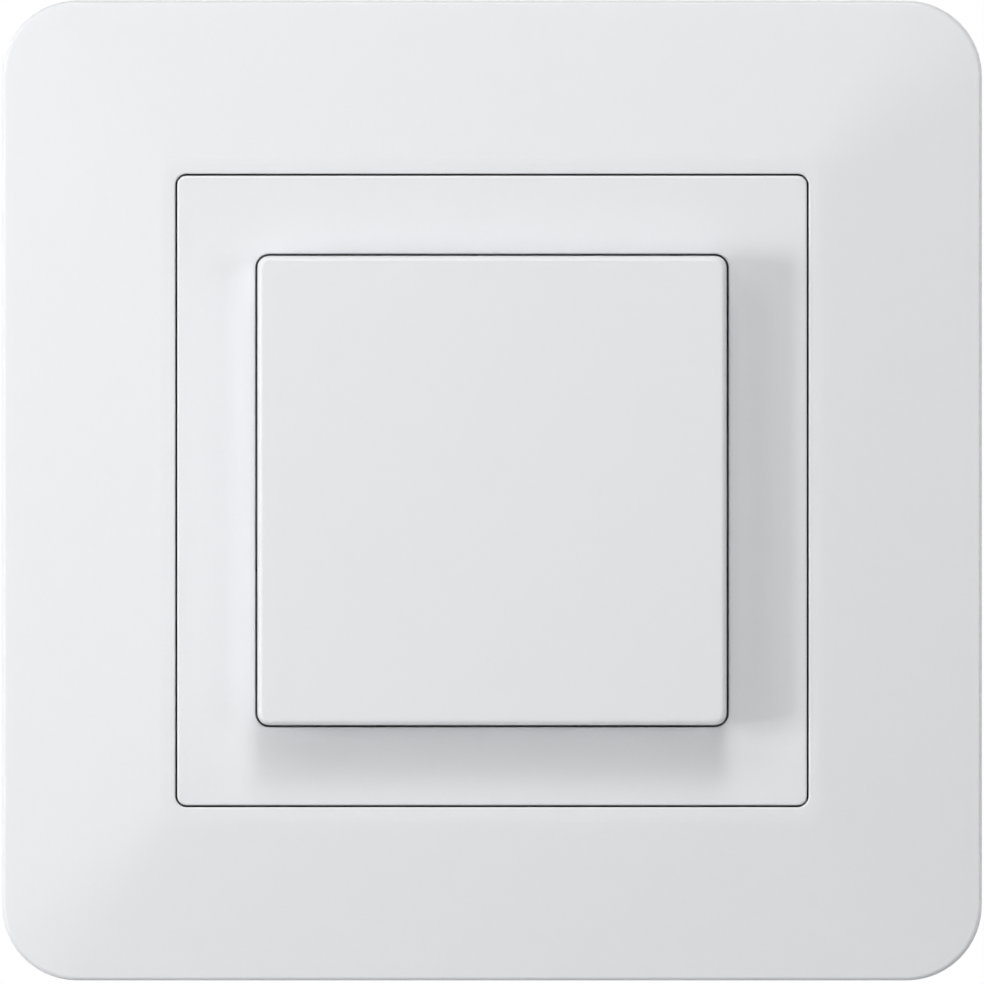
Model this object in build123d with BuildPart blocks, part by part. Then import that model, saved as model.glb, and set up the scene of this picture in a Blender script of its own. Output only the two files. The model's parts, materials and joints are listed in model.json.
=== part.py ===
from build123d import *
import os
from math import cos, radians, sin, sqrt, tan

# A flush-mounted rocker wall switch, in millimetres.
# X points right, Z up and Y into the wall. The wall plane is y = 0, and the origin is the centre of the
# box screws' pattern. A height is measured out of the wall plane, and a depth into it.

os.makedirs("parts", exist_ok=True)

# Cover frame
frame_size = 93.5
frame_corner_radius = 7.2
frame_wall = 2.0
frame_rim_height = 6.2
frame_edge_radius = 0.45
crest_blend_radius = 4.0
crest_height = 8.0
crest_width = 1.2
crest_corner_radius = 1.6
groove_edge_radius = 0.2
groove_width = 0.18
ledge_width = 1.4
ledge_thickness = 1.8
opening_ring_wall = 2.0
rib_thickness = 1.5
rib_length = 10.0
rib_spacing = 44.0
rib_play = 0.15
rib_wall_gap = 0.3

# Centre plate
plate_size = 60.0
plate_corner_radius = 0.9
plate_thickness = 2.0
plate_edge_radius = 0.22
collar_wall = 1.0
collar_length = 1.1
leg_width = 6.0
leg_thickness = 1.4
leg_spacing = 24.0
leg_inset = 2.9
hook_reach = 0.6
hook_length = 0.9
hook_tip_length = 0.3
leg_window_play = 0.3

# Rocker
rocker_size = 44.8
rocker_corner_radius = 1.2
rocker_face_height = 12.5
rocker_skirt_height = 5.4
rocker_edge_radius = 0.55
rocker_draft = 1.0
rocker_face_wall = 2.0
rocker_side_wall = 1.6
rocker_tilt = 3.5
rocker_running_gap = 0.055
pivot_height = 6.0
post_radius = 2.2
post_inset = 5.0
arm_width = 8.0
arm_thickness = 1.2
arm_play = 0.15
arm_wall_gap = 1.45
arm_hook = 0.6
arm_hook_length = 0.65

# Rocker carrier
carrier_thickness = 1.8
carrier_front_height = 9.0
journal_radius = 1.5
journal_clearance = 0.05
journal_end_gap = 2.3
journal_overhang = 0.3
ear_thickness = 2.0
ear_radius = 2.5
ear_side_play = 0.3
stem_thickness = 3.0
stem_width = 4.0
stem_neck_thickness = 1.5
stem_neck_length = 2.0
stem_taper_length = 1.8
stem_tip_radius = 1.2
stem_length = 13.8

# Return springs
spring_radius = 2.15
spring_wire_radius = 0.25
spring_turns = 4
spring_inset = 5.0
spring_seat_gap = 0.02
peg_play = 0.2
cover_peg_height = 1.0
carrier_peg_height = 0.8

# Support plate
support_size = 72.0
support_corner_radius = 6.0
support_thickness = 1.2
support_opening = 34.0
support_opening_radius = 3.0
screw_spacing = 60.0
screw_slot_width = 4.2
screw_slot_length = 6.4
bead_width = 2.0
bead_length = 24.0
bead_height = 0.4
bead_flank_angle = 45.0
bead_position = 24.0

# Mechanism cover
mechanism_size = 42.0
mechanism_corner_radius = 2.0
cover_thickness = 2.0
plug_play = 0.3
bracket_width = 6.0
bracket_thickness = 2.0
bracket_height = 8.0
bracket_mouth = 2.6
bracket_lead = 0.5
stem_window_play = 1.0
stop_spacing = 18.0
stop_width = 4.0
stop_length = 1.6
stop_inset = 1.5
stop_gap = 0.05

# Rivets
rivet_radius = 1.5
rivet_play = 0.05
rivet_bore_radius = 0.9
rivet_head_radius = 2.3
rivet_head_height = 0.5
rivet_inset = 3.0

# Mechanism base
base_wall = 1.6
base_rear_wall = 2.5
base_flange_depth = 4.0
base_chamfer = 10.0
base_opening = 32.0
bay_size = 20.8
bay_wall = 1.0
chamber_width = 12.4
chamber_wall = 1.0
strip_window_width = 10.6
strip_window_play = 0.38
strip_rest_height = 1.1
panel_length = 16.0
panel_width = 9.0
panel_relief = 0.4
tab_rest_length = 1.0
tab_rest_gap = 0.08
entry_pad_length = 12.6
entry_pad_width = 6.4
entry_pad_height = 0.7
guide_width = 1.4
guide_height = 0.6
guide_spacing = 17.4

# Contact lever
lever_arm = 4.6
pivot_pin_radius = 1.0
pivot_pin_clearance = 0.05
pivot_pin_overhang = 0.4
pivot_pin_chamfer = 0.2
pin_seat_play = 0.02
fork_play = 0.1
fork_prong = 1.4
fork_slot_floor = 0.4
yoke_width = 4.8
yoke_boss_width = 6.0
yoke_boss_radius = 1.95
yoke_back = 2.0
yoke_foot_length = 8.4
yoke_foot_thickness = 1.0
stake_spacing = 6.4
stake_radius = 0.7
stake_head_radius = 1.1
stake_head_height = 0.4
bridge_length = 19.2
bridge_width = 5.0
bridge_end_radius = 1.6
strip_thickness = 0.8
tip_spacing = 16.0
tip_radius = 1.4
tip_rim = 0.2
tip_dome_radius = 2.2
tip_tail_radius = 0.8
tip_tail_head_radius = 1.1
tip_tail_head_height = 0.2
contact_gap_left = 0.04
fixed_tip_radius = 1.5
fixed_tip_height = 0.6

# Terminals
tab_width = 5.2
tab_inner_reach = 1.5
clamp_wall_width = 10.0
clamp_wall_front = 8.5
common_strip_gap = 0.82
common_strip_width = 6.0
common_ear_gap = 0.4
common_ear_half_width = 2.2
leaf_thickness = 0.4
leaf_width = 10.0
leaf_front = 7.5
leaf_turn_gap = 1.1
leaf_turn_radius = 1.0
leaf_drop = 9.1
leaf_tip_gap = 0.25
wire_hole_radius = 2.0
wire_hole_chamfer = 0.5
wire_hole_chamfer_angle = 45.0
wire_offset = -2.6
wire_wall_gap = 0.1

# Release buttons
button_offset = 2.6
button_width = 3.4
button_height = 3.0
button_play = 0.15
button_travel = 1.2
button_pressed_overhang = 0.1
button_edge_radius = 0.4
button_collar_width = 4.6
button_collar_height = 3.6
button_collar_length = 1.4
button_collar_gap = 0.2
button_leaf_gap = 0.05

terminal_turns = {"common": 0, "upper": 90, "lower": -90}

# Half the band in which an edge counts as lying at a height
edge_search = 0.01


def facing(height, turn=0):
    """Plane parallel to the wall and facing the room, its x axis turned from +X towards +Z."""
    across = (cos(radians(turn)), 0, sin(radians(turn)))
    return Plane(origin=(0, -height, 0), x_dir=across, z_dir=(0, -1, 0))


def side_view(turn=0):
    """Plane through the middle of the switch: x points outwards at the turn's angle, y into the wall."""
    outwards = (cos(radians(turn)), 0, sin(radians(turn)))
    sideways = (-sin(radians(turn)), 0, cos(radians(turn)))
    return Plane(origin=(0, 0, 0), x_dir=outwards, z_dir=sideways)


def edges_at(part, height):
    """Edges that lie at one height all along."""
    return part.edges().filter_by_position(Axis.Y, -height - edge_search, -height + edge_search)


def save(part, name):
    """Label a finished piece and write its file."""
    part.label = name
    export_step(part, f"parts/{name}.step")


# What fits together is worked out here once
plate_back = crest_height - plate_thickness
frame_opening = plate_size + 2 * groove_width
crest_size = frame_opening + 2 * crest_width
ledge_opening = plate_size - 2 * ledge_width
ring_size = frame_opening + 2 * opening_ring_wall
slope_rate = (crest_height - frame_rim_height) / ((frame_size - crest_size) / 2)

# The rocker's lower edge swings down and outwards as it tilts, so the plate's opening clears that corner
plate_rise = crest_height - pivot_height
swing_height = (plate_rise + rocker_size / 2 * sin(radians(rocker_tilt))) / cos(radians(rocker_tilt))
swing_rise = swing_height + pivot_height - rocker_skirt_height
swing_half = rocker_size / 2 - swing_rise * tan(radians(rocker_draft))
swing_reach = swing_half * cos(radians(rocker_tilt)) + swing_height * sin(radians(rocker_tilt))
plate_opening = 2 * (swing_reach + rocker_running_gap)

rocker_inside = rocker_size - 2 * rocker_side_wall
rocker_inner_height = rocker_face_height - rocker_face_wall
journal_end = rocker_inside / 2 - journal_end_gap
bracket_outer = journal_end - journal_overhang
bracket_inner = bracket_outer - bracket_thickness
ear_outer = bracket_inner - ear_side_play
carrier_half = rocker_inside / 2 - arm_wall_gap - arm_thickness - arm_play
carrier_back = carrier_front_height - carrier_thickness
spring_reach = carrier_half - spring_inset
leg_reach = ledge_opening / 2 - leg_inset

cover_front = support_thickness + cover_thickness
cavity_size = mechanism_size - 2 * base_wall
rivet_spacing = mechanism_size - 2 * rivet_inset

stem_tip_depth = stem_length - pivot_height
lever_depth = stem_tip_depth + lever_arm
lever_tilt = rocker_tilt * stem_length / lever_arm
fork_slot = 2 * (stem_tip_radius + fork_play)
bridge_front = lever_depth + yoke_back
bridge_back = bridge_front + strip_thickness

# Where the moving tip's dome stands furthest back with the lever at its limit
dome_rise = tip_dome_radius - sqrt(tip_dome_radius**2 - tip_radius**2)
tip_apex = bridge_back + tip_rim + dome_rise
dome_centre = tip_apex - tip_dome_radius - lever_depth
dome_swing = dome_centre * cos(radians(lever_tilt)) + tip_spacing / 2 * sin(radians(lever_tilt))
fixed_tip_reach = tip_spacing / 2 * cos(radians(lever_tilt)) - dome_centre * sin(radians(lever_tilt))
fixed_tip_front = lever_depth + dome_swing + tip_dome_radius + contact_gap_left
tab_front = fixed_tip_front + fixed_tip_height
tab_back = tab_front + strip_thickness

# The housing is as deep as the contacts and the common strip behind them need
common_strip_back = tab_back + common_strip_gap + strip_thickness
cavity_depth = common_strip_back + strip_rest_height
base_depth = cavity_depth + base_rear_wall
entry_back = base_depth + entry_pad_height
leaf_turn_depth = cavity_depth - leaf_turn_gap
leaf_tip_depth = leaf_turn_depth - leaf_drop

clamp_wall_inner = bay_size / 2 + bay_wall
clamp_wall_outer = clamp_wall_inner + strip_thickness
wire_reach = clamp_wall_outer + wire_wall_gap + wire_hole_radius
leaf_anchor = cavity_size / 2 - leaf_thickness / 2
leaf_tip_reach = clamp_wall_outer + leaf_tip_gap + leaf_thickness / 2


# Cover frame: a ruled slope from a narrow flat crest down to the rounded outer rim
def slope_height(half):
    """Height of the frame's slope where its outline is this far from the middle."""
    return crest_height - (half - crest_size / 2) * slope_rate


with BuildPart() as cover_frame:
    with BuildSketch(facing(0)):
        RectangleRounded(frame_size, frame_size, frame_corner_radius)
    extrude(amount=frame_rim_height)
    with BuildSketch(facing(frame_rim_height)):
        RectangleRounded(frame_size, frame_size, frame_corner_radius)
    with BuildSketch(facing(crest_height)):
        RectangleRounded(crest_size, crest_size, crest_corner_radius)
    loft(ruled=True)
    fillet(edges_at(cover_frame, frame_rim_height), radius=frame_edge_radius)
    fillet(edges_at(cover_frame, crest_height), radius=crest_blend_radius)

    hollow_size = frame_size - 2 * frame_wall
    hollow_radius = frame_corner_radius - frame_wall
    hollow_height = slope_height(hollow_size / 2) - frame_wall
    with BuildSketch(facing(0)):
        RectangleRounded(hollow_size, hollow_size, hollow_radius)
    extrude(amount=hollow_height, mode=Mode.SUBTRACT)
    with BuildSketch(facing(hollow_height)):
        RectangleRounded(hollow_size, hollow_size, hollow_radius)
    with BuildSketch(facing(slope_height(ring_size / 2) - frame_wall)):
        RectangleRounded(ring_size, ring_size, crest_corner_radius)
    loft(ruled=True, mode=Mode.SUBTRACT)

    with BuildSketch(facing(plate_back - ledge_thickness)):
        RectangleRounded(ring_size, ring_size, crest_corner_radius)
    extrude(amount=ledge_thickness + plate_thickness / 2)
    rib_reach = support_size / 2 + rib_play + rib_thickness / 2
    for turn in range(0, 360, 90):
        with BuildSketch(facing(rib_wall_gap, turn)):
            with Locations((rib_reach, -rib_spacing / 2), (rib_reach, rib_spacing / 2)):
                Rectangle(rib_thickness, rib_length)
        extrude(amount=slope_height(rib_reach) - frame_wall / 2 - rib_wall_gap)
    with BuildSketch(facing(0)):
        RectangleRounded(ledge_opening, ledge_opening, plate_corner_radius)
    extrude(amount=crest_height, mode=Mode.SUBTRACT)
    with BuildSketch(facing(plate_back)):
        RectangleRounded(frame_opening, frame_opening, plate_corner_radius + groove_width)
    extrude(amount=plate_thickness, mode=Mode.SUBTRACT)
    crest_face = cover_frame.faces().sort_by(Axis.Y)[0]
    fillet(crest_face.inner_wires()[0].edges(), radius=groove_edge_radius)
save(cover_frame.part, "cover_frame")

# Centre plate: flush with the frame's crest, with a guiding collar and four hooked legs behind it
with BuildPart() as centre_plate:
    with BuildSketch(facing(plate_back)):
        RectangleRounded(plate_size, plate_size, plate_corner_radius)
    extrude(amount=plate_thickness)
    opening_radius = rocker_corner_radius + (plate_opening - rocker_size) / 2
    collar_size = plate_opening + 2 * collar_wall
    with BuildSketch(facing(plate_back - collar_length)):
        RectangleRounded(collar_size, collar_size, opening_radius + collar_wall)
    extrude(amount=collar_length)
    with BuildSketch(facing(plate_back - collar_length)):
        RectangleRounded(plate_opening, plate_opening, opening_radius)
    extrude(amount=collar_length + plate_thickness, mode=Mode.SUBTRACT)
    plate_face = centre_plate.faces().sort_by(Axis.Y)[0]
    fillet(plate_face.edges(), radius=plate_edge_radius)
    for turn in (90, -90):
        with BuildSketch(facing(-hook_length, turn)):
            with Locations((leg_reach - leg_thickness / 2, 0)):
                with GridLocations(0, leg_spacing, 1, 2):
                    Rectangle(leg_thickness, leg_width)
        extrude(amount=plate_back + hook_length)
        for leg_place in (-leg_spacing / 2, leg_spacing / 2):
            with BuildSketch(side_view(turn).offset(leg_place - leg_width / 2)):
                with BuildLine():
                    Polyline(
                        (leg_reach, 0),
                        (leg_reach + hook_reach, 0),
                        (leg_reach + hook_reach, hook_tip_length),
                        (leg_reach, hook_length),
                        close=True,
                    )
                make_face()
            extrude(amount=leg_width)
save(centre_plate.part, "centre_plate")

# Rocker: a drafted square cap with posts and two snap arms for the carrier
with BuildPart() as rocker_button:
    with BuildSketch(facing(rocker_skirt_height)):
        RectangleRounded(rocker_size, rocker_size, rocker_corner_radius)
    extrude(amount=rocker_face_height - rocker_skirt_height, taper=rocker_draft)
    fillet(rocker_button.faces().sort_by(Axis.Y)[0].edges(), radius=rocker_edge_radius)
    with BuildSketch(facing(rocker_skirt_height)):
        Rectangle(rocker_inside, rocker_inside)
    extrude(amount=rocker_inner_height - rocker_skirt_height, taper=rocker_draft, mode=Mode.SUBTRACT)
    post_spacing = 2 * (carrier_half - post_inset)
    with BuildSketch(facing(carrier_front_height)):
        with GridLocations(post_spacing, post_spacing, 2, 2):
            Circle(post_radius)
    extrude(amount=rocker_inner_height - carrier_front_height)
    arm_inner = carrier_half + arm_play
    arm_back = carrier_back - arm_play - arm_hook_length
    for turn in (90, -90):
        with BuildSketch(side_view(turn)):
            with BuildLine():
                Polyline(
                    (arm_inner, -rocker_inner_height),
                    (arm_inner, -carrier_back + arm_play),
                    (arm_inner - arm_hook, -carrier_back + arm_play),
                    (arm_inner, -arm_back),
                    (arm_inner + arm_thickness, -arm_back),
                    (arm_inner + arm_thickness, -rocker_inner_height),
                    close=True,
                )
            make_face()
        extrude(amount=arm_width / 2, both=True)
save(rocker_button.part, "rocker_button")

# Rocker carrier: plate, two ears with journals, spring pegs, and the stem that moves the contacts
with BuildPart() as rocker_carrier:
    with BuildSketch(facing(carrier_back)):
        RectangleRounded(2 * ear_outer, 2 * carrier_half, mechanism_corner_radius)
    extrude(amount=carrier_thickness)
    for side in (-1, 1):
        ear_inner = ear_outer - ear_thickness
        with BuildSketch(Plane.YZ.offset(min(side * ear_inner, side * ear_outer))):
            with Locations((-pivot_height, 0)):
                Circle(ear_radius)
            with Locations((-(pivot_height + carrier_back) / 2, 0)):
                Rectangle(carrier_back - pivot_height, 2 * ear_radius)
        extrude(amount=ear_thickness)
        with BuildSketch(Plane.YZ.offset(side * ear_outer)):
            with Locations((-pivot_height, 0)):
                Circle(journal_radius)
        extrude(amount=side * (journal_end - ear_outer))
    neck_front = stem_tip_depth - stem_neck_length
    with BuildSketch(side_view(90)):
        with BuildLine():
            Polyline(
                (-stem_thickness / 2, -carrier_back),
                (-stem_thickness / 2, neck_front - stem_taper_length),
                (-stem_neck_thickness / 2, neck_front),
                (-stem_neck_thickness / 2, stem_tip_depth),
                (stem_neck_thickness / 2, stem_tip_depth),
                (stem_neck_thickness / 2, neck_front),
                (stem_thickness / 2, neck_front - stem_taper_length),
                (stem_thickness / 2, -carrier_back),
                close=True,
            )
        make_face()
        with Locations((0, stem_tip_depth)):
            Circle(stem_tip_radius)
    extrude(amount=stem_width / 2, both=True)
    peg_radius = spring_radius - spring_wire_radius - peg_play
    with BuildSketch(facing(carrier_back - carrier_peg_height)):
        with Locations((0, -spring_reach), (0, spring_reach)):
            Circle(peg_radius)
    extrude(amount=carrier_peg_height)
save(rocker_carrier.part, "rocker_carrier")

# Return springs: one coil above the pivot and one below, between the cover and the carrier
spring_start = cover_front + spring_wire_radius + spring_seat_gap
spring_height = carrier_back - spring_wire_radius - spring_seat_gap - spring_start
for name, reach in (("return_spring_upper", spring_reach), ("return_spring_lower", -spring_reach)):
    with BuildPart() as return_spring:
        with BuildLine():
            coil = Helix(
                pitch=spring_height / spring_turns,
                height=spring_height,
                radius=spring_radius,
                center=(0, -spring_start, reach),
                direction=(0, -1, 0),
            )
        with BuildSketch(Plane(origin=coil @ 0, z_dir=coil % 0)):
            Circle(spring_wire_radius)
        sweep(path=coil, is_frenet=True)
    save(return_spring.part, name)

# Support plate: pressed steel with box screw slots, hook windows and stiffening beads
with BuildPart() as support_plate:
    leg_window_width = leg_width + 2 * leg_window_play
    leg_window_length = leg_thickness + hook_reach + 2 * leg_window_play
    window_reach = leg_reach - leg_thickness - leg_window_play + leg_window_length / 2
    with BuildSketch(facing(0)):
        RectangleRounded(support_size, support_size, support_corner_radius)
        RectangleRounded(support_opening, support_opening, support_opening_radius, mode=Mode.SUBTRACT)
        with Locations((-screw_spacing / 2, 0), (screw_spacing / 2, 0)):
            SlotOverall(screw_slot_length, screw_slot_width, mode=Mode.SUBTRACT)
        with Locations((0, -screw_spacing / 2), (0, screw_spacing / 2)):
            SlotOverall(screw_slot_length, screw_slot_width, rotation=90, mode=Mode.SUBTRACT)
        with GridLocations(leg_spacing, 2 * window_reach, 2, 2):
            Rectangle(leg_window_width, leg_window_length, mode=Mode.SUBTRACT)
        with GridLocations(rivet_spacing, rivet_spacing, 2, 2):
            Circle(rivet_radius + rivet_play, mode=Mode.SUBTRACT)
    extrude(amount=support_thickness)
    with BuildSketch(facing(support_thickness)):
        with GridLocations(2 * bead_position, 0, 2, 1):
            SlotOverall(bead_length, bead_width, rotation=90)
    extrude(amount=bead_height, taper=bead_flank_angle)
    with BuildSketch(facing(0)):
        with GridLocations(2 * bead_position, 0, 2, 1):
            SlotOverall(bead_length - bead_width / 2, bead_width / 2, rotation=90)
    extrude(amount=bead_height, mode=Mode.SUBTRACT)
save(support_plate.part, "support_plate")

# Mechanism cover: flange on the plate, plug through it, and the snap-in bearings of the rocker
with BuildPart() as mechanism_cover:
    with BuildSketch(facing(support_thickness)):
        RectangleRounded(mechanism_size, mechanism_size, mechanism_corner_radius)
        with GridLocations(rivet_spacing, rivet_spacing, 2, 2):
            Circle(rivet_radius + rivet_play, mode=Mode.SUBTRACT)
    extrude(amount=cover_thickness)
    plug_size = support_opening - 2 * plug_play
    with BuildSketch(facing(0)):
        RectangleRounded(plug_size, plug_size, support_opening_radius - plug_play)
    extrude(amount=support_thickness)
    window_width = stem_width + 2 * stem_window_play
    stem_swing = pivot_height * tan(radians(rocker_tilt))
    window_height = stem_thickness + 2 * (stem_swing + stem_window_play)
    with BuildSketch(facing(0)):
        Rectangle(window_width, window_height)
    extrude(amount=cover_front, mode=Mode.SUBTRACT)
    for side in (-1, 1):
        with BuildSketch(Plane.YZ.offset(min(side * bracket_inner, side * bracket_outer))):
            with BuildLine():
                Polyline(
                    (-cover_front, -bracket_width / 2),
                    (-bracket_height, -bracket_width / 2),
                    (-bracket_height, -bracket_mouth / 2 - bracket_lead),
                    (-bracket_height + bracket_lead, -bracket_mouth / 2),
                    (-pivot_height, -bracket_mouth / 2),
                    (-pivot_height, bracket_mouth / 2),
                    (-bracket_height + bracket_lead, bracket_mouth / 2),
                    (-bracket_height, bracket_mouth / 2 + bracket_lead),
                    (-bracket_height, bracket_width / 2),
                    (-cover_front, bracket_width / 2),
                    close=True,
                )
            make_face()
            with Locations((-pivot_height, 0)):
                Circle(journal_radius + journal_clearance, mode=Mode.SUBTRACT)
        extrude(amount=bracket_thickness)
    with BuildSketch(facing(cover_front)):
        with Locations((0, -spring_reach), (0, spring_reach)):
            Circle(peg_radius)
    extrude(amount=cover_peg_height)
    stop_reach = carrier_half - stop_inset
    stop_rise = (carrier_back - pivot_height) * cos(radians(rocker_tilt))
    stop_drop = (stop_reach + stop_length / 2) * sin(radians(rocker_tilt))
    stop_height = pivot_height + stop_rise - stop_drop - stop_gap
    with BuildSketch(facing(cover_front)):
        with GridLocations(stop_spacing, 2 * stop_reach, 2, 2):
            Rectangle(stop_width, stop_length)
    extrude(amount=stop_height - cover_front)
save(mechanism_cover.part, "mechanism_cover")


# Mechanism base: flanged housing with a contact bay in the middle and a chamber for each terminal
def cut_corners(size, corner):
    """Square outline with its corners cut off."""
    outline = Rectangle(size, size)
    return chamfer(outline.vertices(), corner)


with BuildPart() as mechanism_base:
    with BuildSketch(facing(-base_flange_depth)):
        RectangleRounded(mechanism_size, mechanism_size, mechanism_corner_radius)
        with GridLocations(rivet_spacing, rivet_spacing, 2, 2):
            Circle(rivet_radius + rivet_play, mode=Mode.SUBTRACT)
    extrude(amount=base_flange_depth)
    with BuildSketch(facing(-base_depth)):
        cut_corners(mechanism_size, base_chamfer)
    extrude(amount=base_depth - base_flange_depth)
    with BuildSketch(facing(-base_flange_depth)):
        RectangleRounded(base_opening, base_opening, mechanism_corner_radius)
    extrude(amount=base_flange_depth, mode=Mode.SUBTRACT)
    with BuildSketch(facing(-cavity_depth)):
        cut_corners(cavity_size, base_chamfer - (2 - sqrt(2)) * base_wall)
    extrude(amount=cavity_depth - base_flange_depth, mode=Mode.SUBTRACT)

    with BuildSketch(facing(-cavity_depth)):
        Rectangle(bay_size + 2 * bay_wall, bay_size + 2 * bay_wall)
        Rectangle(bay_size, bay_size, mode=Mode.SUBTRACT)
    extrude(amount=cavity_depth - base_flange_depth)
    chamber_length = cavity_size / 2 - clamp_wall_inner
    for turn in terminal_turns.values():
        with BuildSketch(facing(-cavity_depth, turn)):
            with Locations((clamp_wall_inner + chamber_length / 2, 0)):
                with GridLocations(0, chamber_width + chamber_wall, 1, 2):
                    Rectangle(chamber_length, chamber_wall)
        extrude(amount=cavity_depth - base_flange_depth)
        with BuildSketch(facing(-cavity_depth, turn)):
            with Locations((clamp_wall_inner - bay_wall / 2, 0)):
                Rectangle(bay_wall, strip_window_width)
        extrude(amount=cavity_depth - tab_front + strip_window_play, mode=Mode.SUBTRACT)
        with BuildSketch(facing(-entry_back, turn)):
            with Locations((wire_reach, 0)):
                SlotOverall(entry_pad_length, entry_pad_width, rotation=90)
        extrude(amount=entry_pad_height)
        with BuildSketch(facing(-entry_back, turn)):
            with Locations((wire_reach, button_offset)):
                Rectangle(button_height + 2 * button_play, button_width + 2 * button_play)
            with Locations((wire_reach, wire_offset)):
                Circle(wire_hole_radius)
        extrude(amount=entry_back - cavity_depth, mode=Mode.SUBTRACT)
        with BuildSketch(facing(-entry_back, turn)):
            with Locations((wire_reach, wire_offset)):
                Circle(wire_hole_radius + wire_hole_chamfer)
        extrude(amount=wire_hole_chamfer, taper=wire_hole_chamfer_angle, mode=Mode.SUBTRACT)
    with BuildSketch(facing(-cavity_depth)):
        Rectangle(common_strip_width, common_strip_width)
    extrude(amount=cavity_depth - common_strip_back)
    rest_reach = fixed_tip_reach + tip_tail_head_radius + tab_rest_gap + tab_rest_length / 2
    with BuildSketch(facing(-cavity_depth)):
        with GridLocations(0, 2 * rest_reach, 1, 2):
            Rectangle(tab_width, tab_rest_length)
    extrude(amount=cavity_depth - tab_back)
    for turn in range(0, 360, 90):
        panel_depth = (base_flange_depth + base_depth) / 2
        panel_face = side_view(turn + 90).offset(-mechanism_size / 2)
        with BuildSketch(panel_face):
            with Locations((0, panel_depth)):
                Rectangle(panel_length, panel_width)
        extrude(amount=panel_relief, mode=Mode.SUBTRACT)
        with BuildSketch(panel_face):
            with Locations((0, panel_depth)):
                with GridLocations(guide_spacing + guide_width, 0, 2, 1):
                    Rectangle(guide_width, base_depth - base_flange_depth)
        extrude(amount=-guide_height)
save(mechanism_base.part, "mechanism_base")

# Tubular rivets: they hold the cover, the support plate and the base together
with BuildPart() as tubular_rivets:
    with BuildSketch(facing(-base_flange_depth)):
        with GridLocations(rivet_spacing, rivet_spacing, 2, 2):
            Circle(rivet_radius)
    extrude(amount=base_flange_depth + cover_front)
    with BuildSketch(facing(cover_front), facing(-base_flange_depth - rivet_head_height)):
        with GridLocations(rivet_spacing, rivet_spacing, 2, 2):
            Circle(rivet_head_radius)
    extrude(amount=rivet_head_height)
    with BuildSketch(facing(-base_flange_depth - rivet_head_height)):
        with GridLocations(rivet_spacing, rivet_spacing, 2, 2):
            Circle(rivet_bore_radius)
    extrude(amount=base_flange_depth + cover_front + 2 * rivet_head_height, mode=Mode.SUBTRACT)
save(tubular_rivets.part, "tubular_rivets")

# Contact yoke: the fork that the stem moves, bored for the pivot pin
with BuildPart() as contact_yoke:
    fork_front = stem_tip_depth - stem_tip_radius
    fork_floor = stem_tip_depth + stem_tip_radius + fork_slot_floor
    fork_width = fork_slot + 2 * fork_prong
    with BuildSketch(side_view(90)):
        with Locations((0, (fork_front + bridge_front) / 2)):
            Rectangle(fork_width, bridge_front - fork_front)
        with Locations((0, (fork_front + fork_floor) / 2)):
            Rectangle(fork_slot, fork_floor - fork_front, mode=Mode.SUBTRACT)
        with Locations((0, bridge_front - yoke_foot_thickness / 2)):
            Rectangle(yoke_foot_length, yoke_foot_thickness)
    extrude(amount=yoke_width / 2, both=True)
    with BuildSketch(side_view(90)):
        with Locations((0, lever_depth)):
            Circle(yoke_boss_radius)
    extrude(amount=yoke_boss_width / 2, both=True)
    with BuildSketch(side_view(90)):
        with Locations((0, lever_depth)):
            Circle(pivot_pin_radius + pivot_pin_clearance)
    extrude(amount=yoke_boss_width / 2, both=True, mode=Mode.SUBTRACT)
    with BuildSketch(facing(-bridge_back)):
        with GridLocations(0, stake_spacing, 1, 2):
            Circle(stake_radius)
    extrude(amount=strip_thickness)
    with BuildSketch(facing(-bridge_back - stake_head_height)):
        with GridLocations(0, stake_spacing, 1, 2):
            Circle(stake_head_radius)
    extrude(amount=stake_head_height)
save(contact_yoke.part, "contact_yoke")

# Contact bridge: springy see-saw strip staked to the yoke
with BuildPart() as contact_bridge:
    with BuildSketch(facing(-bridge_back)):
        RectangleRounded(bridge_width, bridge_length, bridge_end_radius)
        with GridLocations(0, stake_spacing, 1, 2):
            Circle(stake_radius, mode=Mode.SUBTRACT)
        with GridLocations(0, tip_spacing, 1, 2):
            Circle(tip_tail_radius, mode=Mode.SUBTRACT)
    extrude(amount=strip_thickness)
save(contact_bridge.part, "contact_bridge")

# Moving contact tips: domed rivets at both ends of the bridge
with BuildPart() as moving_contact_tips:
    for side in (-1, 1):
        tip_position = side * tip_spacing / 2
        tail_front = bridge_front - tip_tail_head_height
        with BuildSketch(side_view(90)):
            with BuildLine():
                Line((tip_position, tail_front), (tip_position + tip_tail_head_radius, tail_front))
                Line((tip_position + tip_tail_head_radius, tail_front),
                     (tip_position + tip_tail_head_radius, bridge_front))
                Line((tip_position + tip_tail_head_radius, bridge_front),
                     (tip_position + tip_tail_radius, bridge_front))
                Line((tip_position + tip_tail_radius, bridge_front),
                     (tip_position + tip_tail_radius, bridge_back))
                Line((tip_position + tip_tail_radius, bridge_back), (tip_position + tip_radius, bridge_back))
                Line((tip_position + tip_radius, bridge_back),
                     (tip_position + tip_radius, bridge_back + tip_rim))
                RadiusArc((tip_position + tip_radius, bridge_back + tip_rim),
                          (tip_position, tip_apex), -tip_dome_radius)
                Line((tip_position, tip_apex), (tip_position, tail_front))
            make_face()
        revolve(axis=Axis((0, 0, tip_position), (0, 1, 0)))
save(moving_contact_tips.part, "moving_contact_tips")

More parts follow.
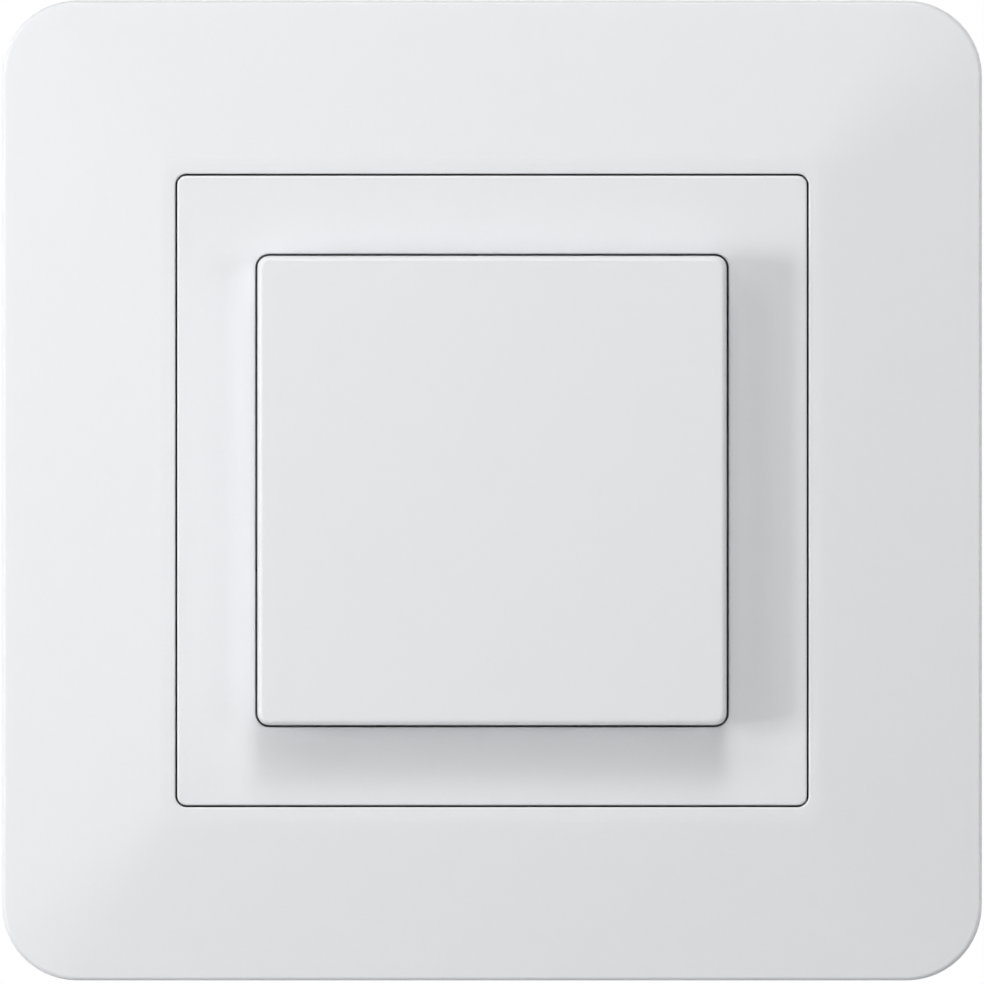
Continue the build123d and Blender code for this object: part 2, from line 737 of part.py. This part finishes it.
# Contact pivot pin: held in the common terminal's ears
common_ear_inner = yoke_boss_width / 2 + common_ear_gap
common_ear_outer = common_ear_inner + strip_thickness
with BuildPart() as contact_pivot_pin:
    with BuildSketch(side_view(90)):
        with Locations((0, lever_depth)):
            Circle(pivot_pin_radius)
    extrude(amount=common_ear_outer + pivot_pin_overhang, both=True)
    chamfer(contact_pivot_pin.edges(), length=pivot_pin_chamfer)
save(contact_pivot_pin.part, "contact_pivot_pin")

# Terminals: each strip ends in a wall along its chamber, which the clamp spring presses the wire against
wall_middle = (clamp_wall_inner + clamp_wall_outer) / 2
with BuildPart() as common_terminal:
    with BuildSketch(facing(-common_strip_back, terminal_turns["common"])):
        with Locations((wall_middle, 0)):
            Rectangle(strip_thickness, clamp_wall_width)
    extrude(amount=common_strip_back - clamp_wall_front)
    strip_length = clamp_wall_outer + common_ear_outer
    with BuildSketch(facing(-common_strip_back)):
        with Locations((clamp_wall_outer - strip_length / 2, 0)):
            Rectangle(strip_length, common_strip_width)
    extrude(amount=strip_thickness)
    for ear_middle in (-common_ear_outer + strip_thickness / 2, common_ear_outer - strip_thickness / 2):
        with BuildSketch(side_view(90).offset(-ear_middle - strip_thickness / 2)):
            with Locations((0, lever_depth)):
                Circle(common_ear_half_width)
            with Locations((0, (lever_depth + common_strip_back) / 2)):
                Rectangle(2 * common_ear_half_width, common_strip_back - lever_depth)
            with Locations((0, lever_depth)):
                Circle(pivot_pin_radius + pin_seat_play, mode=Mode.SUBTRACT)
        extrude(amount=strip_thickness)
save(common_terminal.part, "common_terminal")

for name in ("upper", "lower"):
    turn = terminal_turns[name]
    tab_inner = fixed_tip_reach - tab_inner_reach
    with BuildPart() as fixed_contact:
        with BuildSketch(facing(-tab_back, turn)):
            with Locations((wall_middle, 0)):
                Rectangle(strip_thickness, clamp_wall_width)
        extrude(amount=tab_back - clamp_wall_front)
        with BuildSketch(facing(-tab_back, turn)):
            with Locations(((tab_inner + clamp_wall_outer) / 2, 0)):
                Rectangle(clamp_wall_outer - tab_inner, tab_width)
            with Locations((fixed_tip_reach, 0)):
                Circle(tip_tail_radius, mode=Mode.SUBTRACT)
        extrude(amount=strip_thickness)
    save(fixed_contact.part, f"{name}_contact")

with BuildPart() as fixed_contact_tips:
    with BuildSketch(facing(-tab_front)):
        with GridLocations(0, 2 * fixed_tip_reach, 1, 2):
            Circle(fixed_tip_radius)
    extrude(amount=fixed_tip_height)
    with BuildSketch(facing(-tab_back)):
        with GridLocations(0, 2 * fixed_tip_reach, 1, 2):
            Circle(tip_tail_radius)
    extrude(amount=strip_thickness)
    with BuildSketch(facing(-tab_back - tip_tail_head_height)):
        with GridLocations(0, 2 * fixed_tip_reach, 1, 2):
            Circle(tip_tail_head_radius)
    extrude(amount=tip_tail_head_height)
save(fixed_contact_tips.part, "fixed_contact_tips")

# Clamp springs and release buttons, one of each to a terminal
leaf_run = leaf_anchor - leaf_tip_reach
leaf_rise = leaf_turn_depth - leaf_tip_depth
leaf_slope = leaf_rise / leaf_run
leaf_face = leaf_thickness / 2 * sqrt(leaf_run**2 + leaf_rise**2) / leaf_run
button_outer = wire_reach + button_height / 2
button_front = leaf_tip_depth + (button_outer - leaf_tip_reach) * leaf_slope + leaf_face + button_leaf_gap
button_back = entry_back + button_travel + button_pressed_overhang
collar_back = cavity_depth - button_collar_gap
for name, turn in terminal_turns.items():
    with BuildPart() as clamp_spring:
        with BuildSketch(side_view(turn)):
            with BuildLine() as leaf:
                FilletPolyline(
                    (leaf_anchor, leaf_front),
                    (leaf_anchor, leaf_turn_depth),
                    (leaf_tip_reach, leaf_tip_depth),
                    radius=leaf_turn_radius,
                )
            trace(leaf.edges(), line_width=leaf_thickness)
        extrude(amount=leaf_width / 2, both=True)
    save(clamp_spring.part, f"{name}_clamp_spring")

    with BuildPart() as release_button:
        with BuildSketch(facing(-button_back, turn)):
            with Locations((wire_reach, button_offset)):
                Rectangle(button_height, button_width)
        extrude(amount=button_back - button_front)
        fillet(release_button.faces().sort_by(Axis.Y)[-1].edges(), radius=button_edge_radius)
        with BuildSketch(facing(-collar_back, turn)):
            with Locations((wire_reach, button_offset)):
                Rectangle(button_collar_height, button_collar_width)
        extrude(amount=button_collar_length)
    save(release_button.part, f"{name}_release_button")
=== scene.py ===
import json
import math

import bmesh
import bpy
import numpy as np
from mathutils import Matrix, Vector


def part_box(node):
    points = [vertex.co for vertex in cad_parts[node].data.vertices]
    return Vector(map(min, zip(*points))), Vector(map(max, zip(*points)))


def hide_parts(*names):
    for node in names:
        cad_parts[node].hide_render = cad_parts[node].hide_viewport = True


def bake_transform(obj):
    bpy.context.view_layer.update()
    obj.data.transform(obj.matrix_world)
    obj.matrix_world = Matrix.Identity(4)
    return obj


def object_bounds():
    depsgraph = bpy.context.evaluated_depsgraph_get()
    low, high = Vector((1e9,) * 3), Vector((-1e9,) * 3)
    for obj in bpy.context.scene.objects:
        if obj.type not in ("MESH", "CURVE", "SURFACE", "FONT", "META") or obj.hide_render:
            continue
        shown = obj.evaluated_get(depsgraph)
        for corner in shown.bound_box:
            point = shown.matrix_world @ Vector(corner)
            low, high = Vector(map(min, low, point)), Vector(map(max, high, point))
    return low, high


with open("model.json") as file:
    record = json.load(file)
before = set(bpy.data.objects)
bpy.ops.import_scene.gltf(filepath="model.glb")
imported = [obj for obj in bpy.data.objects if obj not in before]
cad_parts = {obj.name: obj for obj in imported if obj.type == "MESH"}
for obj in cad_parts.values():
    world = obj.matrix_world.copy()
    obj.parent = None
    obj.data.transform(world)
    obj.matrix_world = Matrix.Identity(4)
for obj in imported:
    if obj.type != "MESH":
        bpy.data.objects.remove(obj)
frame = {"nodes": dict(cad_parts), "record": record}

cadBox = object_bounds()
mm = 0.001
nodes = frame["nodes"]
scene = bpy.context.scene
print("stage: frame loaded,", len(nodes), "nodes")


def startMaterial(name):
    # an empty Principled material and the Object coordinates that its textures read
    material = bpy.data.materials.new(name)
    material.use_nodes = True
    tree = material.node_tree
    tree.nodes.clear()
    output = tree.nodes.new("ShaderNodeOutputMaterial")
    shader = tree.nodes.new("ShaderNodeBsdfPrincipled")
    tree.links.new(shader.outputs["BSDF"], output.inputs["Surface"])
    place = tree.nodes.new("ShaderNodeTexCoord")
    return material, tree, shader, place.outputs["Object"]


def addNoise(tree, place, scale, detail=2.0, roughness=0.5, stretch=(1, 1, 1)):
    # noise of the given number of cells to a metre, drawn out along an axis by stretch
    mapping = tree.nodes.new("ShaderNodeMapping")
    mapping.inputs["Scale"].default_value = stretch
    noise = tree.nodes.new("ShaderNodeTexNoise")
    noise.inputs["Scale"].default_value = scale
    noise.inputs["Detail"].default_value = detail
    noise.inputs["Roughness"].default_value = roughness
    tree.links.new(place, mapping.inputs["Vector"])
    tree.links.new(mapping.outputs["Vector"], noise.inputs["Vector"])
    return noise.outputs["Fac"]


def addRange(tree, value, low, high, fromLow=0.3, fromHigh=0.7):
    # linear remap of a texture's middle range
    spread = tree.nodes.new("ShaderNodeMapRange")
    spread.inputs["From Min"].default_value = fromLow
    spread.inputs["From Max"].default_value = fromHigh
    spread.inputs["To Min"].default_value = low
    spread.inputs["To Max"].default_value = high
    tree.links.new(value, spread.inputs["Value"])
    return spread.outputs["Result"]


def addBlend(tree, factor, first, second):
    # colour between first and second by factor
    mix = tree.nodes.new("ShaderNodeMix")
    mix.data_type = "RGBA"
    mix.inputs["A"].default_value = (*first, 1)
    mix.inputs["B"].default_value = (*second, 1)
    tree.links.new(factor, mix.inputs["Factor"])
    return mix.outputs["Result"]


def addBump(tree, height, distance, strength, below=None):
    # relief of a texture, over another relief if one is given
    bump = tree.nodes.new("ShaderNodeBump")
    bump.inputs["Distance"].default_value = distance
    bump.inputs["Strength"].default_value = strength
    tree.links.new(height, bump.inputs["Height"])
    if below is not None:
        tree.links.new(below, bump.inputs["Normal"])
    return bump.outputs["Normal"]


def addCameraSplit(tree, lighting, seen):
    # the first closure for light that bounces about, the second where the camera looks straight at it
    mix = tree.nodes.new("ShaderNodeMixShader")
    path = tree.nodes.new("ShaderNodeLightPath")
    tree.links.new(path.outputs["Is Camera Ray"], mix.inputs["Fac"])
    tree.links.new(lighting, mix.inputs[1])
    tree.links.new(seen, mix.inputs[2])
    return mix.outputs["Shader"]


whitePlastic = {"pale": (0.850, 0.858, 0.876), "deep": (0.838, 0.846, 0.864), "roughness": (0.40, 0.50),
                "ior": 1.49, "grainPerMetre": 5200, "grainDepth": 0.006 * mm, "grainStrength": 0.8,
                "wavePerMetre": 90, "waveDepth": 0.02 * mm, "waveStrength": 0.6}
# shade painted into the colour of the joints' walls, with no shape behind it
paintedGapShade = {"colour": (0.045, 0.030, 0.018),
            "startDepth": 0.15 * mm,  # how far below the plate's face the painted shade begins
            "fadeDepth": 0.22 * mm,  # and over what depth it grows to full
            "reach": 0.16 * mm,  # half the width of the band that it covers at each wall
            "frameOutset": 0.18 * mm,  # middle of the band on the frame, outside the plate's edge
            "plateOutset": 0.06 * mm,  # middle of the band on the plate, outside the rocker's edge
            "rockerDepth": 1.5 * mm}  # deeper start on the rocker, so that its painted shade stays hidden as it tilts


def addMath(tree, operation, first, second=None):
    # one Math node; a number goes on its socket and a socket is linked
    node = tree.nodes.new("ShaderNodeMath")
    node.operation = operation
    for spot, value in enumerate((first, second)):
        if value is None:
            continue
        if isinstance(value, float):
            node.inputs[spot].default_value = value
        else:
            tree.links.new(value, node.inputs[spot])
    return node.outputs["Value"]


def addPaintedShadeMask(tree, place, frontHeight, wallHalves):
    # where the shade is painted: 1 on the walls that a piece turns to its square joints, below its front
    # face, and 0 elsewhere:
    # the distance from the middle is the larger of the two sideways distances, compared with each half size
    s = paintedGapShade
    split = tree.nodes.new("ShaderNodeSeparateXYZ")
    tree.links.new(place, split.inputs["Vector"])
    across = addMath(tree, "ABSOLUTE", split.outputs["X"])
    up = addMath(tree, "ABSOLUTE", split.outputs["Z"])
    half = addMath(tree, "MAXIMUM", across, up)
    below = addMath(tree, "ADD", split.outputs["Y"], frontHeight - s["startDepth"])
    deep = addRange(tree, below, 0, 1, 0, s["fadeDepth"])
    near = None
    for wallHalf in wallHalves:
        gap = addMath(tree, "ABSOLUTE", addMath(tree, "SUBTRACT", half, float(wallHalf)))
        hit = addMath(tree, "LESS_THAN", gap, s["reach"])
        near = hit if near is None else addMath(tree, "MAXIMUM", near, hit)
    return addMath(tree, "MULTIPLY", deep, near)


def makeWhitePlastic(name, frontHeight, wallHalves):
    # spark-eroded mould texture: fine grain in tone, gloss and height over a very shallow wave,
    # and painted shade: a dark colour on the walls inside the joints, where little light gets in
    s = whitePlastic
    material, tree, shader, place = startMaterial(name)
    grain = addNoise(tree, place, s["grainPerMetre"], detail=3.0, roughness=0.6)
    wave = addNoise(tree, place, s["wavePerMetre"], detail=1.0)
    tone = addBlend(tree, addRange(tree, grain, 0, 1), s["deep"], s["pale"])
    # painted shade: a dark colour mixed into the joints' walls by the mask
    paintedShade = tree.nodes.new("ShaderNodeMix")
    paintedShade.data_type = "RGBA"
    paintedShade.inputs["B"].default_value = (*paintedGapShade["colour"], 1)
    tree.links.new(tone, paintedShade.inputs["A"])
    tree.links.new(addPaintedShadeMask(tree, place, frontHeight, wallHalves), paintedShade.inputs["Factor"])
    tree.links.new(paintedShade.outputs["Result"], shader.inputs["Base Color"])
    tree.links.new(addRange(tree, grain, *s["roughness"]), shader.inputs["Roughness"])
    shader.inputs["IOR"].default_value = s["ior"]
    waves = addBump(tree, wave, s["waveDepth"], s["waveStrength"])
    relief = addBump(tree, grain, s["grainDepth"], s["grainStrength"], waves)
    tree.links.new(relief, shader.inputs["Normal"])
    return material


mouldedPlastic = {
    "naturalPlastic": {"pale": (0.80, 0.78, 0.70), "deep": (0.74, 0.71, 0.62), "roughness": (0.34, 0.46)},
    "mechanismPlastic": {"pale": (0.56, 0.58, 0.59), "deep": (0.50, 0.52, 0.535), "roughness": (0.42, 0.58)},
    "releasePlastic": {"pale": (0.86, 0.33, 0.035), "deep": (0.80, 0.27, 0.02), "roughness": (0.26, 0.36)},
}
mouldedGrain = {"ior": 1.53, "grainPerMetre": 3800, "grainDepth": 0.012 * mm, "grainStrength": 0.7,
                "flowPerMetre": 160, "flowStretch": (1, 0.25, 1)}


def makeMouldedPlastic(name):
    # moulded polyamide: grain in gloss and height, and drawn-out flow marks in the colour
    s = mouldedPlastic[name]
    g = mouldedGrain
    material, tree, shader, place = startMaterial(name)
    grain = addNoise(tree, place, g["grainPerMetre"], detail=4.0, roughness=0.65)
    flow = addNoise(tree, place, g["flowPerMetre"], detail=3.0, stretch=g["flowStretch"])
    tone = addBlend(tree, addRange(tree, flow, 0, 1), s["deep"], s["pale"])
    tree.links.new(tone, shader.inputs["Base Color"])
    tree.links.new(addRange(tree, grain, *s["roughness"]), shader.inputs["Roughness"])
    shader.inputs["IOR"].default_value = g["ior"]
    relief = addBump(tree, grain, g["grainDepth"], g["grainStrength"])
    tree.links.new(relief, shader.inputs["Normal"])
    return material


zincSheet = {"pale": (0.70, 0.72, 0.74), "deep": (0.50, 0.53, 0.56), "roughness": (0.26, 0.44),
             "spanglePerMetre": 420, "rollPerMetre": 900, "rollStretch": (0.06, 1, 1),
             "rollDepth": 0.004 * mm, "rollStrength": 0.6}


def makeZincSheet():
    # galvanised sheet: angular spangles that differ in tone and gloss, over faint rolling lines
    s = zincSheet
    material, tree, shader, place = startMaterial("galvanisedSteel")
    spangle = tree.nodes.new("ShaderNodeTexVoronoi")
    spangle.inputs["Scale"].default_value = s["spanglePerMetre"]
    tree.links.new(place, spangle.inputs["Vector"])
    tone = tree.nodes.new("ShaderNodeSeparateColor")
    tree.links.new(spangle.outputs["Color"], tone.inputs["Color"])
    roll = addNoise(tree, place, s["rollPerMetre"], detail=3.0, stretch=s["rollStretch"])
    tree.links.new(addBlend(tree, tone.outputs["Red"], s["deep"], s["pale"]), shader.inputs["Base Color"])
    tree.links.new(addRange(tree, tone.outputs["Green"], *s["roughness"], 0, 1), shader.inputs["Roughness"])
    shader.inputs["Metallic"].default_value = 1.0
    tree.links.new(addBump(tree, roll, s["rollDepth"], s["rollStrength"]), shader.inputs["Normal"])
    return material


metals = {
    "rivetSteel": {"pale": (0.74, 0.73, 0.71), "deep": (0.60, 0.59, 0.58),
                   "roughness": (0.22, 0.38), "linesPerMetre": 2400},
    "springSteel": {"pale": (0.60, 0.60, 0.61), "deep": (0.46, 0.46, 0.48),
                    "roughness": (0.18, 0.32), "linesPerMetre": 3000},
    "contactBrass": {"pale": (0.86, 0.66, 0.34), "deep": (0.70, 0.50, 0.22),
                     "roughness": (0.20, 0.40), "linesPerMetre": 1800},
    "contactSilver": {"pale": (0.90, 0.89, 0.86), "deep": (0.76, 0.75, 0.72),
                      "roughness": (0.24, 0.40), "linesPerMetre": 2600},
}
metalGrain = {"tarnishPerMetre": 260, "lineStretch": (1, 0.1, 1),
              "lineDepth": 0.003 * mm, "lineStrength": 0.6}


def makeMetal(name):
    # drawn or stamped metal: fine lines in gloss and height, broad tarnish in the colour
    s = metals[name]
    g = metalGrain
    material, tree, shader, place = startMaterial(name)
    line = addNoise(tree, place, s["linesPerMetre"], detail=3.0, stretch=g["lineStretch"])
    tarnish = addNoise(tree, place, g["tarnishPerMetre"], detail=4.0, roughness=0.6)
    tone = addBlend(tree, addRange(tree, tarnish, 0, 1), s["deep"], s["pale"])
    tree.links.new(tone, shader.inputs["Base Color"])
    tree.links.new(addRange(tree, line, *s["roughness"]), shader.inputs["Roughness"])
    shader.inputs["Metallic"].default_value = 1.0
    tree.links.new(addBump(tree, line, g["lineDepth"], g["lineStrength"]), shader.inputs["Normal"])
    return material


# the joints' walls, where the shade is painted, are found from the plate and the rocker themselves
plateFront = -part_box("centre_plate")[0][1]
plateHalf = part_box("centre_plate")[1][0]
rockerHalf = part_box("rocker_button")[1][0]
whiteNodes = {
    "cover_frame": makeWhitePlastic("framePlastic", plateFront, (plateHalf + paintedGapShade["frameOutset"],)),
    "centre_plate": makeWhitePlastic("platePlastic", plateFront,
                                     (plateHalf, rockerHalf + paintedGapShade["plateOutset"])),
    "rocker_button": makeWhitePlastic("rockerPlastic", plateFront - paintedGapShade["rockerDepth"],
                                      (rockerHalf,)),
}
finishes = {"galvanised_steel": makeZincSheet()}
for slotName, finishName in (("natural_plastic", "naturalPlastic"),
                             ("mechanism_plastic", "mechanismPlastic"),
                             ("release_plastic", "releasePlastic")):
    finishes[slotName] = makeMouldedPlastic(finishName)
for slotName, finishName in (("rivet_steel", "rivetSteel"), ("spring_steel", "springSteel"),
                             ("contact_brass", "contactBrass"), ("contact_silver", "contactSilver")):
    finishes[slotName] = makeMetal(finishName)

slotOfNode = {entry["node"]: entry["material_slot"] for entry in frame["record"]["subparts"]}
for nodeName, nodeObject in nodes.items():
    for materialSlot in nodeObject.material_slots:
        materialSlot.material = whiteNodes.get(nodeName) or finishes[slotOfNode[nodeName]]
print("stage: materials on", len(slotOfNode), "nodes")


def addSurface(name, grid, closedAcross, caps, slotName):
    # a skin of quads over a grid of points: rows run along the path, columns round the section
    rows, columns = grid.shape[:2]
    across = np.arange(columns if closedAcross else columns - 1)
    row, column = np.meshgrid(np.arange(rows - 1), across, indexing="ij")
    nextColumn = (column + 1) % columns
    quads = np.stack([row * columns + column, row * columns + nextColumn,
                      (row + 1) * columns + nextColumn, (row + 1) * columns + column], axis=-1).reshape(-1, 4)
    faces = quads.tolist()
    if caps:
        faces.append(list(range(columns))[::-1])
        faces.append(list(range((rows - 1) * columns, rows * columns)))
    mesh = bpy.data.meshes.new(name)
    mesh.from_pydata(grid.reshape(-1, 3).tolist(), [], faces)
    shell = bmesh.new()
    shell.from_mesh(mesh)
    bmesh.ops.recalc_face_normals(shell, faces=shell.faces)  # outward
    shell.to_mesh(mesh)
    shell.free()
    piece = bpy.data.objects.new(name, mesh)
    scene.collection.objects.link(piece)
    mesh.materials.append(finishes[slotName])
    return piece


returnSpring = {"wireRadius": 0.25 * mm, "turns": 5.0, "endTurns": 0.8, "pointsPerTurn": 40, "wirePoints": 12,
                "endPitch": 1.02,    # of the closed end turns, in wire diameters
                "openPitch": 2.2}    # added to it between the ends, in wire radii


def makeReturnSpring(nodeName, pieceName):
    # circle of the wire's radius carried along a helix, whose pitch grows with the square of the turns
    # from the nearer end and is then even; the rise is the sum of the pitch, scaled to the spring's length
    s = returnSpring
    low, high = (np.array(corner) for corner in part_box(nodeName))
    middle = (low + high) / 2
    wire = s["wireRadius"]
    coilRadius = (high[0] - low[0]) / 2 - wire
    reach = high[1] - low[1] - 2 * wire
    turn = np.linspace(0, s["turns"], int(s["turns"] * s["pointsPerTurn"]) + 1)
    closed = np.minimum(turn, s["turns"] - turn) / s["endTurns"]
    pitch = 2 * wire * s["endPitch"] + np.clip(closed, 0, 1) ** 2 * s["openPitch"] * wire
    rise = np.concatenate([[0], np.cumsum((pitch[1:] + pitch[:-1]) / 2 * np.diff(turn))])
    rise *= reach / rise[-1]
    angle = 2 * math.pi * turn
    outward = np.stack([np.cos(angle), np.zeros_like(angle), np.sin(angle)], axis=-1)
    centre = middle + coilRadius * outward
    centre[:, 1] = high[1] - wire - rise
    tangent = np.gradient(centre, axis=0)
    tangent /= np.linalg.norm(tangent, axis=1, keepdims=True)
    side = np.cross(tangent, outward)
    side /= np.linalg.norm(side, axis=1, keepdims=True)
    around = np.linspace(0, 2 * math.pi, s["wirePoints"], endpoint=False)
    ring = np.cos(around)[None, :, None] * outward[:, None] + np.sin(around)[None, :, None] * side[:, None]
    piece = addSurface(pieceName, centre[:, None] + wire * ring, True, True, "spring_steel")
    piece.data.polygons.foreach_set("use_smooth", np.ones(len(piece.data.polygons), dtype=bool))
    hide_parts(nodeName)
    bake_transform(piece)
    return piece


for level in ("upper", "lower"):
    makeReturnSpring(f"return_spring_{level}", f"{level}ReturnSpring")
print("stage: return springs")


clampSpring = {"thickness": 0.4 * mm, "turnRadius": 1.0 * mm, "leafAngle": math.radians(35.75),
               "cornerRadius": 0.12 * mm, "runPoints": 16, "turnPoints": 24, "cornerPoints": 5}


def makeClampSpring(terminalName, outward, sideways):
    # rounded strip section carried down a straight leg, round an arc and back along a sloping leaf;
    # the section is a quarter circle at each corner, turned to face across the path
    s = clampSpring
    nodeName = f"{terminalName}_clamp_spring"
    low, high = (np.array(corner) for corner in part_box(nodeName))
    outside = max(low @ outward, high @ outward)
    inside = min(low @ outward, high @ outward)
    halfWidth = abs((high - low) @ sideways) / 2
    half = s["thickness"] / 2
    radius = s["turnRadius"]
    lean = s["leafAngle"]
    anchor = outside - half
    turnDepth = high[1] - half - radius
    turn = np.linspace(0, math.pi - lean, s["turnPoints"])
    leg = np.linspace(low[1], turnDepth, s["runPoints"])[:-1]
    arcOut = anchor - radius + radius * np.cos(turn)
    arcDepth = turnDepth + radius * np.sin(turn)
    tip = inside + half * math.cos(lean)
    run = np.linspace(0, (arcOut[-1] - tip) / math.sin(lean), s["runPoints"])[1:]
    out = np.concatenate([np.full_like(leg, anchor), arcOut, arcOut[-1] - run * math.sin(lean)])
    depth = np.concatenate([leg, arcDepth, arcDepth[-1] - run * math.cos(lean)])
    facing = np.concatenate([np.zeros_like(leg), turn, np.full_like(run, turn[-1])])
    quarter = np.linspace(0, math.pi / 2, s["cornerPoints"])
    corner = s["cornerRadius"]
    spots = [(half - corner, halfWidth - corner, 0), (corner - half, halfWidth - corner, 1),
             (corner - half, corner - halfWidth, 2), (half - corner, corner - halfWidth, 3)]
    across = np.concatenate([x + corner * np.cos(quarter + k * math.pi / 2) for x, z, k in spots])
    along = np.concatenate([z + corner * np.sin(quarter + k * math.pi / 2) for x, z, k in spots])
    inwards = np.array([0.0, 1.0, 0.0])
    line = out[:, None] * outward + depth[:, None] * inwards
    normal = np.cos(facing)[:, None] * outward + np.sin(facing)[:, None] * inwards
    grid = line[:, None] + across[None, :, None] * normal[:, None] + along[None, :, None] * sideways
    piece = addSurface(f"{terminalName}ClampSpring", grid, True, True, "spring_steel")
    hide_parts(nodeName)
    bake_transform(piece)
    return piece


terminalTurns = {"common": 0, "upper": 90, "lower": -90}  # round the face's axis
for terminalName, degrees in terminalTurns.items():
    swing = math.radians(degrees)
    makeClampSpring(terminalName, np.array([math.cos(swing), 0, math.sin(swing)]),
                    np.array([-math.sin(swing), 0, math.cos(swing)]))
print("stage: clamp springs")


floorSettings = {"drop": 45 * mm, "half": 0.85, "colour": (0.50, 0.505, 0.51), "roughness": 0.8,
                 "shownColour": (0.62, 0.625, 0.63), "shownGlow": 0.38,
                 "fadeStart": 0.12, "fadeEnd": 0.60}  # metres from the middle, into plain white


def makeFloor():
    # one large flat square under the object, seen paler than the light it throws back
    # and white far out, so that no edge of it shows
    s = floorSettings
    height = cadBox[0].z - s["drop"]
    corners = [(-s["half"], -s["half"], height), (s["half"], -s["half"], height),
               (s["half"], s["half"], height), (-s["half"], s["half"], height)]
    mesh = bpy.data.meshes.new("floor")
    mesh.from_pydata(corners, [], [(0, 1, 2, 3)])
    floor = bpy.data.objects.new("floor", mesh)
    scene.collection.objects.link(floor)
    material, tree, shader, place = startMaterial("floorPaint")
    shader.inputs["Base Color"].default_value = (*s["colour"], 1)
    shader.inputs["Roughness"].default_value = s["roughness"]
    shown = tree.nodes.new("ShaderNodeBsdfPrincipled")
    shown.inputs["Base Color"].default_value = (*s["shownColour"], 1)
    shown.inputs["Roughness"].default_value = s["roughness"]
    shown.inputs["Emission Color"].default_value = (1, 1, 1, 1)
    shown.inputs["Emission Strength"].default_value = s["shownGlow"]
    distance = tree.nodes.new("ShaderNodeVectorMath")
    distance.operation = "LENGTH"
    tree.links.new(place, distance.inputs[0])
    farOut = addRange(tree, distance.outputs["Value"], 0, 1, s["fadeStart"], s["fadeEnd"])
    white = tree.nodes.new("ShaderNodeEmission")
    fade = tree.nodes.new("ShaderNodeMixShader")
    tree.links.new(farOut, fade.inputs["Fac"])
    tree.links.new(shown.outputs["BSDF"], fade.inputs[1])
    tree.links.new(white.outputs["Emission"], fade.inputs[2])
    surface = addCameraSplit(tree, shader.outputs["BSDF"], fade.outputs["Shader"])
    tree.links.new(surface, tree.nodes["Material Output"].inputs["Surface"])
    mesh.materials.append(material)


lights = {
    "leftSoftbox": {"azimuth": -90, "rise": 33, "distance": 0.45, "size": (0.08, 0.16), "power": 0.872},
    "upperLeftSoftbox": {"azimuth": -45, "rise": 36, "distance": 0.70, "size": (0.16, 0.30), "power": 0.676},
    "topSoftbox": {"azimuth": 0, "rise": 36, "distance": 0.70, "size": (0.20, 0.24), "power": 1.737},
    "overheadSoftbox": {"azimuth": 15, "rise": 54, "distance": 0.70, "size": (0.26, 0.30), "power": 0.654},
    "rightFill": {"azimuth": 90, "rise": 45, "distance": 0.70, "size": (0.20, 0.30), "power": 0.73},
    "backSoftbox": {"azimuth": 25, "rise": -50, "distance": 0.80, "size": (0.50, 0.60), "power": 2.4},
    "rightRearSoftbox": {"azimuth": 80, "rise": -28, "distance": 0.90, "size": (0.40, 0.50), "power": 2.2},
    "leftRearSoftbox": {"azimuth": -80, "rise": -28, "distance": 0.90, "size": (0.40, 0.50), "power": 2.2},
}


def makeLight(name):
    # azimuth is round the face's own axis, from up towards the right; rise is out of the wall plane
    s = lights[name]
    azimuth = math.radians(s["azimuth"])
    rise = math.radians(s["rise"])
    away = np.array([math.sin(azimuth) * math.cos(rise), -math.sin(rise), math.cos(azimuth) * math.cos(rise)])
    data = bpy.data.lights.new(name, "AREA")
    data.shape = "RECTANGLE"
    data.size, data.size_y = s["size"]
    data.energy = s["power"]
    light = bpy.data.objects.new(name, data)
    scene.collection.objects.link(light)
    along = np.array([math.cos(azimuth), 0, -math.sin(azimuth)])  # runs round the face
    matrix = np.eye(4)
    matrix[:3, 0] = np.cross(along, away)
    matrix[:3, 1] = along
    matrix[:3, 2] = away
    matrix[:3, 3] = away * s["distance"]
    light.matrix_world = Matrix(matrix.tolist())


worldSettings = {"ambient": (0.02, 0.02, 0.02), "shown": (1.0, 1.0, 1.0)}


def makeWorld():
    # a faint even light all round, seen as white behind the object
    s = worldSettings
    world = bpy.data.worlds.new("studio")
    scene.world = world
    world.use_nodes = True
    tree = world.node_tree
    tree.nodes.clear()
    output = tree.nodes.new("ShaderNodeOutputWorld")
    around = tree.nodes.new("ShaderNodeBackground")
    around.inputs["Color"].default_value = (*s["ambient"], 1)
    shown = tree.nodes.new("ShaderNodeBackground")
    shown.inputs["Color"].default_value = (*s["shown"], 1)
    surface = addCameraSplit(tree, around.outputs["Background"], shown.outputs["Background"])
    tree.links.new(surface, output.inputs["Surface"])


cameraSettings = {"distance": 1.5, "viewWidth": 93.95 * mm,
                  "aimHeight": 5 * mm,  # in front of the wall plane, where the view is viewWidth wide
                  "drop": 0.143 * mm, "sensor": 36.0, "nearClip": 0.01, "farClip": 20}


def makeCamera():
    # a long lens straight on to the face
    s = cameraSettings
    data = bpy.data.cameras.new("camera")
    data.sensor_width = s["sensor"]
    data.lens = s["sensor"] * s["distance"] / s["viewWidth"]
    data.clip_start = s["nearClip"]
    data.clip_end = s["farClip"]
    camera = bpy.data.objects.new("camera", data)
    scene.collection.objects.link(camera)
    camera.location = (0, -s["aimHeight"] - s["distance"], -s["drop"])
    camera.rotation_euler = (math.radians(90), 0, 0)
    scene.camera = camera


makeFloor()
for lightName in lights:
    makeLight(lightName)
makeWorld()
makeCamera()
scene.view_settings.view_transform = "Standard"
print("stage: floor, lights and camera")
